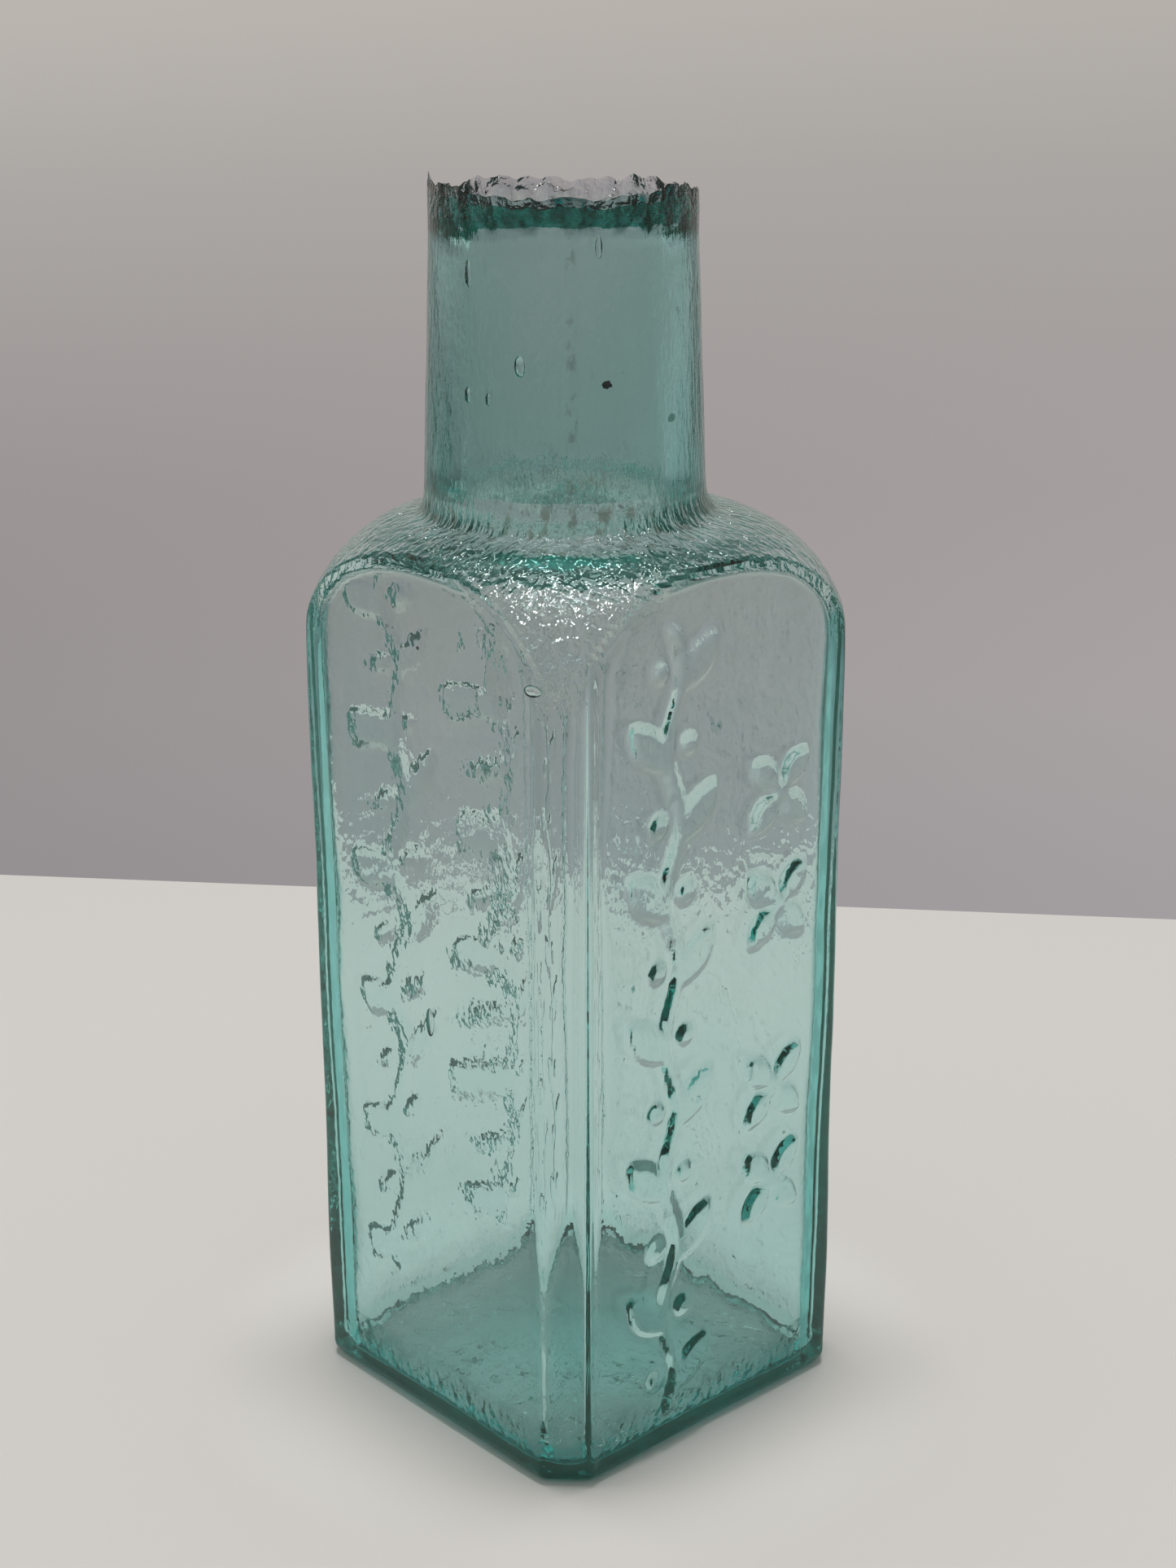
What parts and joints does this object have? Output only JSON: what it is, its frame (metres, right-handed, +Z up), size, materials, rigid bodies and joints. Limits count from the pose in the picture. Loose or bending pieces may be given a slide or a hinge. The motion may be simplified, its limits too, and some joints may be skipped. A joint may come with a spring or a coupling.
{
  "type": "square glass medicine bottle",
  "caption": "Square mould-blown aqua glass bottle with cut corners, domed shoulder, arch-topped panels with raised vines and a wide round neck with a rough broken lip.",
  "frame": {"origin": "centre of the flat face the bottle rests on", "axes": "+Z up the bottle to its mouth, -Y out of the main panel with one vine and four rosettes, X and Y square to the flat sides"},
  "size_m": [0.04, 0.041, 0.1207],
  "materials": {
    "aqua_glass": "glossy, slightly wavy and pitted, with seed bubbles"
  },
  "bodies": {
    "root": {"glass_bottle": "aqua_glass"}
  },
  "joints": []
}
